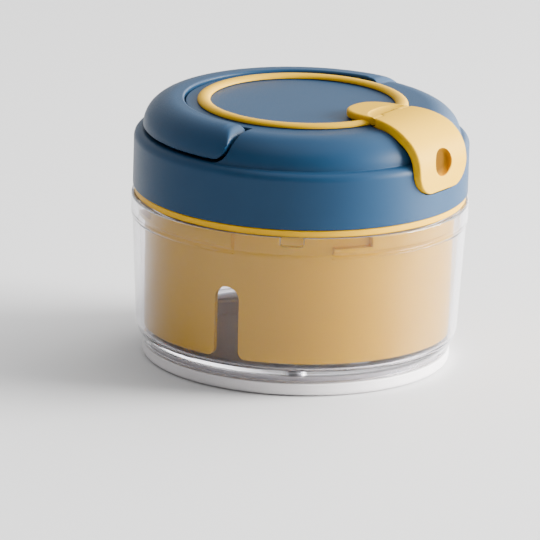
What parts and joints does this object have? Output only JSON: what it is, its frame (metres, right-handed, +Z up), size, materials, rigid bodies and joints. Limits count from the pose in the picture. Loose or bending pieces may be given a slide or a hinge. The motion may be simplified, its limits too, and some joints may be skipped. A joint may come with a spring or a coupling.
{
  "type": "manual food chopper",
  "caption": "Hand-held food chopper: clear round bowl, domed lid with folding bail handle, pull ring on a strap that drives a blade rotor through a cord reel.",
  "frame": {"origin": "middle of the foot ring's underside, on the table", "axes": "+Z up along the bowl's axis; the strap and cord outlet face -Y; the bail swings about the X axis and lies towards +Y"},
  "size_m": [0.1188, 0.1191, 0.0943],
  "materials": {
    "clear_plastic": "clear glossy plastic",
    "blue_plastic": "satin",
    "yellow_plastic": "semi-gloss",
    "deep_yellow_plastic": "semi-gloss",
    "silicone": "matt",
    "steel": "brushed",
    "grey_plastic": "satin",
    "cord": "braided"
  },
  "bodies": {
    "bowl": {"bowl": "clear_plastic", "foot_ring": "silicone", "bowl_pin": "steel"},
    "seal": {"lid_seal": "silicone"},
    "lid": {"lid_shell": "blue_plastic", "inner_sleeve": "deep_yellow_plastic", "reel_cover": "grey_plastic", "reel_axle": "steel", "recoil_spring": "steel", "cord_eyelet": "steel", "pull_cord": "cord", "drive_bush": "steel", "bail_pin_left": "steel", "bail_pin_right": "steel", "cover_screw_1": "steel", "cover_screw_2": "steel", "cover_screw_3": "steel"},
    "bail": {"bail_handle": "blue_plastic"},
    "handle": {"pull_strap": "yellow_plastic", "ring_hinge_pin": "steel", "cord_knot": "cord"},
    "ring": {"pull_ring": "yellow_plastic"},
    "reel": {"cord_reel": "grey_plastic", "cord_winding": "cord", "drive_socket": "grey_plastic"},
    "rotor": {"blade_shaft": "grey_plastic", "blade_lower": "steel", "blade_middle": "steel", "blade_upper": "steel", "blade_spacer_lower": "grey_plastic", "blade_spacer_upper": "grey_plastic", "shaft_collar": "grey_plastic"}
  },
  "joints": [
    {"name": "lid_lift", "type": "slide", "parent": "bowl", "child": "seal", "axis": [0, 0, 1], "range_m": [0, 0.075]},
    {"name": "lid_turn", "type": "hinge", "parent": "seal", "child": "lid", "pos_m": [0, 0, 0.0597], "axis": [0, 0, 1], "range_deg": [-23, 16]},
    {"name": "bail_swing", "type": "hinge", "parent": "lid", "child": "bail", "pos_m": [0, 0, 0.0873], "axis": [1, 0, 0], "range_deg": [0, 90]},
    {"name": "handle_pull", "type": "slide", "parent": "lid", "child": "handle", "axis": [0, -1, 0], "range_m": [0, 0.2], "stiffness_N_per_m": 15, "springref_m": -0.05},
    {"name": "ring_fold", "type": "hinge", "parent": "handle", "child": "ring", "pos_m": [0, -0.0365, 0.0929], "axis": [1, 0, 0], "range_deg": [0, 90]},
    {"name": "reel_spin", "type": "hinge", "parent": "lid", "child": "reel", "pos_m": [0, 0, 0.0802], "axis": [0, 0, 1], "range_deg": [-670, 1]},
    {"name": "rotor_spin", "type": "hinge", "parent": "bowl", "child": "rotor", "pos_m": [0, 0, 0.0299], "axis": [0, 0, 1], "range_deg": [-670, 1]}
  ],
  "couplings": [
    {"joint": "reel_spin", "follows": "handle_pull", "rad_per_m": -57.8},
    {"joint": "rotor_spin", "follows": "handle_pull", "rad_per_m": -57.8}
  ]
}
